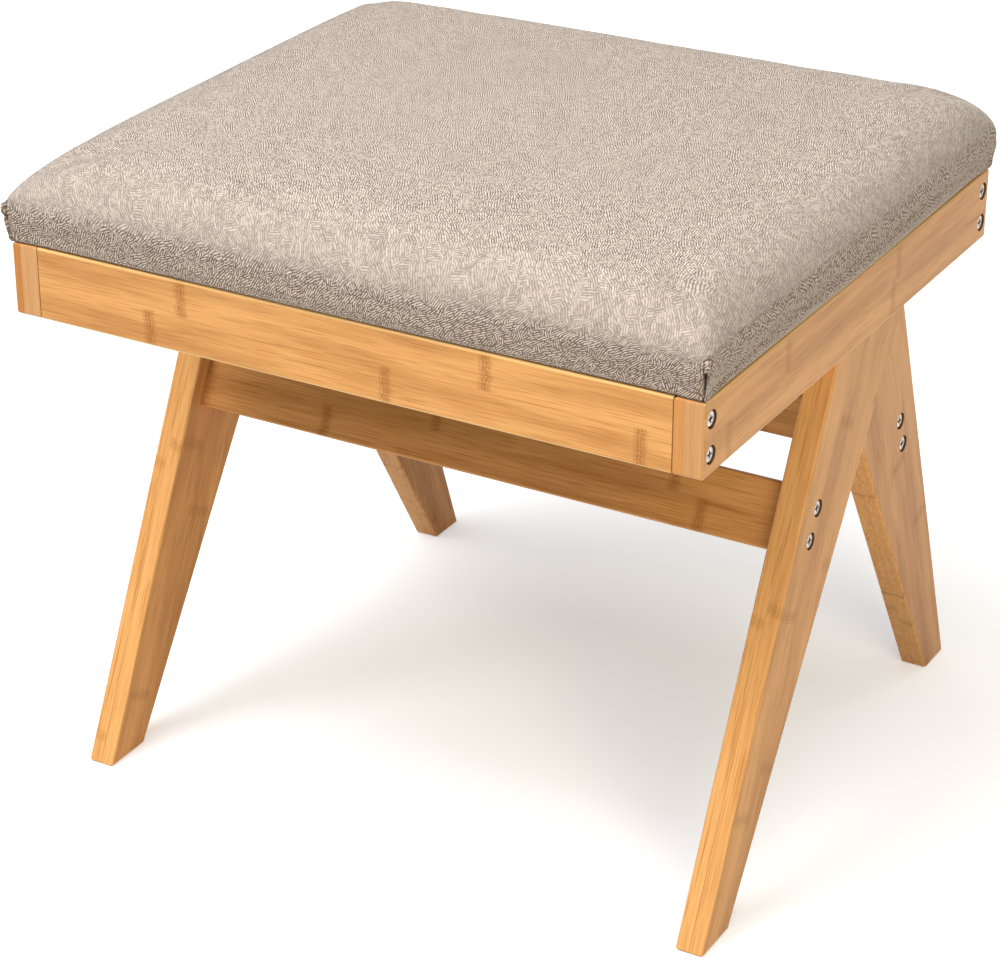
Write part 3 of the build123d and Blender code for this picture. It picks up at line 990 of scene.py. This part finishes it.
            pucker = PUCKER * noise(Vector((x, y, place.z * 0.5)) * PUCKER_SCALE)
            pucker *= exp(-(gone.length / PUCKER_FADE) ** 2)
            move = outward * (fold * low + knob + pucker)
            vert.co.x += move.x
            vert.co.y += move.y

    def woven(self, form):
        """Woven melange: patches of short pale stitches, each patch with its own slant."""
        seat = form.seat
        finish = Finish("woven_melange")
        cloth = finish.node("ShaderNodeUVMap", {"uv_map": "cloth"}).outputs["UV"]
        u, v = finish.along(cloth, X), finish.along(cloth, Y)

        # patches with wavering borders
        bend_u = finish.noise(cloth, scale=BEND_SCALE) - 0.5
        bend_v = finish.noise(finish.place(u, v, 0.7), scale=BEND_SCALE) - 0.5
        bent = finish.place(u + bend_u * BEND, v + bend_v * BEND, 0.0)
        patches = finish.node(
            "ShaderNodeTexVoronoi",
            {"voronoi_dimensions": "2D"},
            {"Vector": bent, "Scale": PATCH_SCALE, "Randomness": 1.0},
        )
        pick = finish.node("ShaderNodeSeparateColor", None, {"Color": patches.outputs["Color"]})
        lean = Wire(finish, pick.outputs[0])
        turned = Wire(finish, pick.outputs[1]).over(0.80)

        # the slant of each patch in radians, with another middle on the front and rear and on the sides
        face = abs(v).over(form.half_y - SIDE_START)
        flank = abs(u).over(form.half_x - SIDE_START)
        slant = (lean - 0.5) * (0.8 + face * 0.1 + flank * 2.4) + turned * (1.4 - face * 0.3)
        slant = slant + 0.5 - face * 1.35 - flank * 0.9
        slant_sine, slant_cosine = slant.wave(), (slant + pi / 2).wave()

        # yarns side by side, each broken into stitches
        sway = finish.noise(cloth, scale=SWAY_SCALE) - 0.5
        pitch = seat.yarn_pitch * (1.0 + flank * 0.45)
        over = (u * slant_cosine + v * slant_sine) / pitch + sway * SWAY
        along = (v * slant_cosine - u * slant_sine) / pitch + lean * 9.0
        yarn = over.floor()
        reach = along / STITCH_YARNS + finish.chance(finish.place(yarn, 3.0, 1.0))
        stitch = reach.floor()
        shade = finish.chance(finish.place(yarn, stitch, 5.0))
        dash = abs(reach - stitch - 0.5).ramp(0.3, 0.5, 1.0, 0.35)
        height = (abs(over - yarn - 0.5) * -2.0 + 1.0).ramp(0.0, 0.9) * dash
        hair = finish.noise(cloth, scale=HAIR_SCALE)
        cloud = finish.noise(cloth, scale=CLOUD_SCALE)
        wear = finish.noise(cloth, scale=WEAR_SCALE)

        # painted sheen highlight on the rounded edge: the weave's contrast is lowered there and its tone
        # made a little darker; below it painted shade makes the cloth darker and warmer, most on the left
        # and right sides
        hang = (abs(u) - form.half_x).most(abs(v) - form.half_y)
        painted_highlight = hang.ramp(-70 * MM, -18 * MM) * hang.ramp(-8 * MM, 3 * MM, 1.0, 0.0)
        contrast = wear.ramp(0.25, 0.7, 0.85, 1.1) * (1.0 - painted_highlight * 0.74) * (1.0 + flank * 0.8)
        # painted shade: the cloth is drawn darker from the rounded edge down the sides
        dark = 0.49 + painted_highlight * 0.03 + hang.ramp(-12 * MM, 8 * MM, 0.0, 0.17)
        dark = dark + (0.46 - height) * contrast * 1.3 + (shade - 0.5) * (0.40 - painted_highlight * 0.16)
        dark = dark + (hair - 0.5) * 0.28 + (cloud - 0.5) * 0.05
        colour = finish.mix(dark.most(0.0).least(1.0), seat.light_yarn, seat.dark_yarn)
        # painted shade: below the rounded edge and on the left and right sides the cloth turns darker and
        # warmer
        painted_side_shade = hang.ramp(-8 * MM, 12 * MM, 0.0, 0.20) + flank * 0.27
        colour = finish.mix(painted_side_shade, colour, SIDE_SHADE_COLOUR)

        # shade inside the slits, round the knobs and along the hem
        crease = abs(finish.attribute("rolled") - 0.55).ramp(0.03, 0.16, 0.62, 0.0)
        rise = finish.along(finish.spot(), Z) - form.base
        hem = rise.ramp(0.6 * MM, 2.4 * MM, 0.85, 0.0)
        shaded = (finish.attribute("tucked") * 0.95).most(crease).most(hem)
        colour = finish.mix(shaded, colour, CREASE_SHADE)
        return finish.surface(
            Base_Color=colour,
            Roughness=hair * 0.2 + 0.60,
            Specular_IOR_Level=0.30,
            Sheen_Weight=0.55,
            Sheen_Roughness=0.35,
            Sheen_Tint=SHEEN_TINT,
            Normal=finish.relief(height + hair * 0.3, 0.22 * MM),
        )


# Square soft lamps that face the seat: name, place, width, power, colour
LAMPS = (
    ("key", (-1.15, -1.55, 2.95), 2.0, 71.0, WHITE),
    ("top", (0.0, -0.45, 2.9), 2.0, 44.0, WHITE),
    ("side_fill", (2.0, -1.9, 1.6), 1.4, 28.0, (1.0, 0.86, 0.60)),
)
LAMP_AIM = Vector((0, 0, 0.3))
SKY_STRENGTH = 0.20
FLOOR_SIZE = 24.0
FLOOR_CLOUD = (0.9, 0.9, 0.9)
# The floor's lift by the square of the distance from the stool: from, to, lift there
FLOOR_LIFT = (1.0, 6.0, 0.40, 1.0)
SENSOR_WIDTH = 36.0


class FOOTSTOOL_OT_stage(bpy.types.Operator):
    """Set the floor, the lights and the camera"""

    bl_idname = "footstool.stage"
    bl_label = "Set the stage"

    def execute(self, context):
        stage = context.scene.footstool_stage
        context.scene.view_settings.view_transform = "Standard"
        self.floor(context, stage)
        self.world(context)
        for name, place, width, power, colour in LAMPS:
            self.lamp(context, name, place, width, power, colour)
        self.camera(context, stage)
        return {"FINISHED"}

    def floor(self, context, stage):
        """A wide pale floor that keeps the stool's shadow and turns white away from it."""
        bpy.ops.object.select_all(action="DESELECT")
        bpy.ops.mesh.primitive_plane_add(size=FLOOR_SIZE, location=(0, 0, 0))
        plane = context.active_object
        plane.name = "floor"
        finish = Finish("pale_floor")
        spot = finish.spot()
        cloud = finish.noise(spot, scale=3.0)
        colour = finish.mix(cloud * 0.1, stage.floor, FLOOR_CLOUD)
        matt = finish.node("ShaderNodeBsdfDiffuse", None, {"Color": colour, "Roughness": 0.6})
        rays = finish.node("ShaderNodeLightPath")
        seen = Wire(finish, rays.outputs["Is Camera Ray"])
        for kind in ("Is Glossy Ray", "Is Transmission Ray"):
            seen = seen.most(Wire(finish, rays.outputs[kind]))
        east, north = finish.along(spot, X), finish.along(spot, Y)
        lift = (east * east + north * north).ramp(*FLOOR_LIFT)
        glow = finish.mix(seen * lift, BLACK, WHITE)
        lifted = finish.node("ShaderNodeEmission", None, {"Color": glow, "Strength": 1.0})
        both = finish.node("ShaderNodeAddShader", None, {0: matt.outputs[0], 1: lifted.outputs[0]})
        plane.data.materials.append(finish.show(both))

    def world(self, context):
        """Soft light from all round, on a background that shows as white."""
        finish = Finish("studio", bpy.data.worlds, "ShaderNodeOutputWorld")
        rays = finish.node("ShaderNodeLightPath")
        soft = {"Color": rgba(WHITE), "Strength": SKY_STRENGTH}
        white = {"Color": rgba(WHITE), "Strength": 1.0}
        inputs = {
            0: rays.outputs["Is Camera Ray"],
            1: finish.node("ShaderNodeBackground", None, soft).outputs[0],
            2: finish.node("ShaderNodeBackground", None, white).outputs[0],
        }
        context.scene.world = finish.show(finish.node("ShaderNodeMixShader", None, inputs))

    def lamp(self, context, name, place, width, power, colour):
        """A square soft light that faces the seat."""
        bpy.ops.object.select_all(action="DESELECT")
        bpy.ops.object.light_add(type="AREA", location=place)
        lamp = context.active_object
        lamp.name = name
        lamp.data.size = width
        lamp.data.energy = power
        lamp.data.color = colour
        aim = LAMP_AIM - Vector(place)
        lamp.rotation_euler = aim.to_track_quat("-Z", "Y").to_euler()

    def camera(self, context, stage):
        """The camera at the photograph's viewing angle."""
        turn, rise = radians(stage.azimuth), radians(stage.elevation)
        back = Vector((sin(turn) * cos(rise), -cos(turn) * cos(rise), sin(rise)))
        bpy.ops.object.camera_add(location=Vector(stage.target) + back * stage.distance)
        camera = context.active_object
        camera.name = "camera"
        camera.rotation_euler = (-back).to_track_quat("-Z", "Y").to_euler()
        camera.data.sensor_width = SENSOR_WIDTH
        camera.data.lens = stage.lens
        context.scene.camera = camera


class FOOTSTOOL_PT_panel(bpy.types.Panel):
    """Lists the steps and their settings"""

    bl_idname = "FOOTSTOOL_PT_panel"
    bl_label = "Footstool"
    bl_space_type = "VIEW_3D"
    bl_region_type = "UI"
    bl_category = "Footstool"

    def draw(self, context):
        layout = self.layout
        for operator in OPERATORS:
            layout.operator(operator.bl_idname)
        for name in SETTINGS:
            settings = getattr(context.scene, name)
            box = layout.box()
            for setting in settings.__annotations__:
                box.prop(settings, setting)


SETTINGS = {
    "footstool_boards": FootstoolBoards,
    "footstool_seat": FootstoolSeat,
    "footstool_stage": FootstoolStage,
}
OPERATORS = (
    FOOTSTOOL_OT_stage,
    FOOTSTOOL_OT_boards,
    FOOTSTOOL_OT_fixings,
    FOOTSTOOL_OT_underside,
    FOOTSTOOL_OT_cushion,
)


def register():
    for name, group in SETTINGS.items():
        bpy.utils.register_class(group)
        setattr(bpy.types.Scene, name, bpy.props.PointerProperty(type=group))
    for part in (*OPERATORS, FOOTSTOOL_PT_panel):
        bpy.utils.register_class(part)


def unregister():
    for part in reversed((*OPERATORS, FOOTSTOOL_PT_panel)):
        bpy.utils.unregister_class(part)
    for name, group in SETTINGS.items():
        delattr(bpy.types.Scene, name)
        bpy.utils.unregister_class(group)


def main():
    register()
    bpy.ops.footstool.stage()
    bpy.ops.footstool.boards()
    bpy.ops.footstool.fixings()
    bpy.ops.footstool.underside()
    bpy.ops.footstool.cushion()


if __name__ == "__main__":
    main()
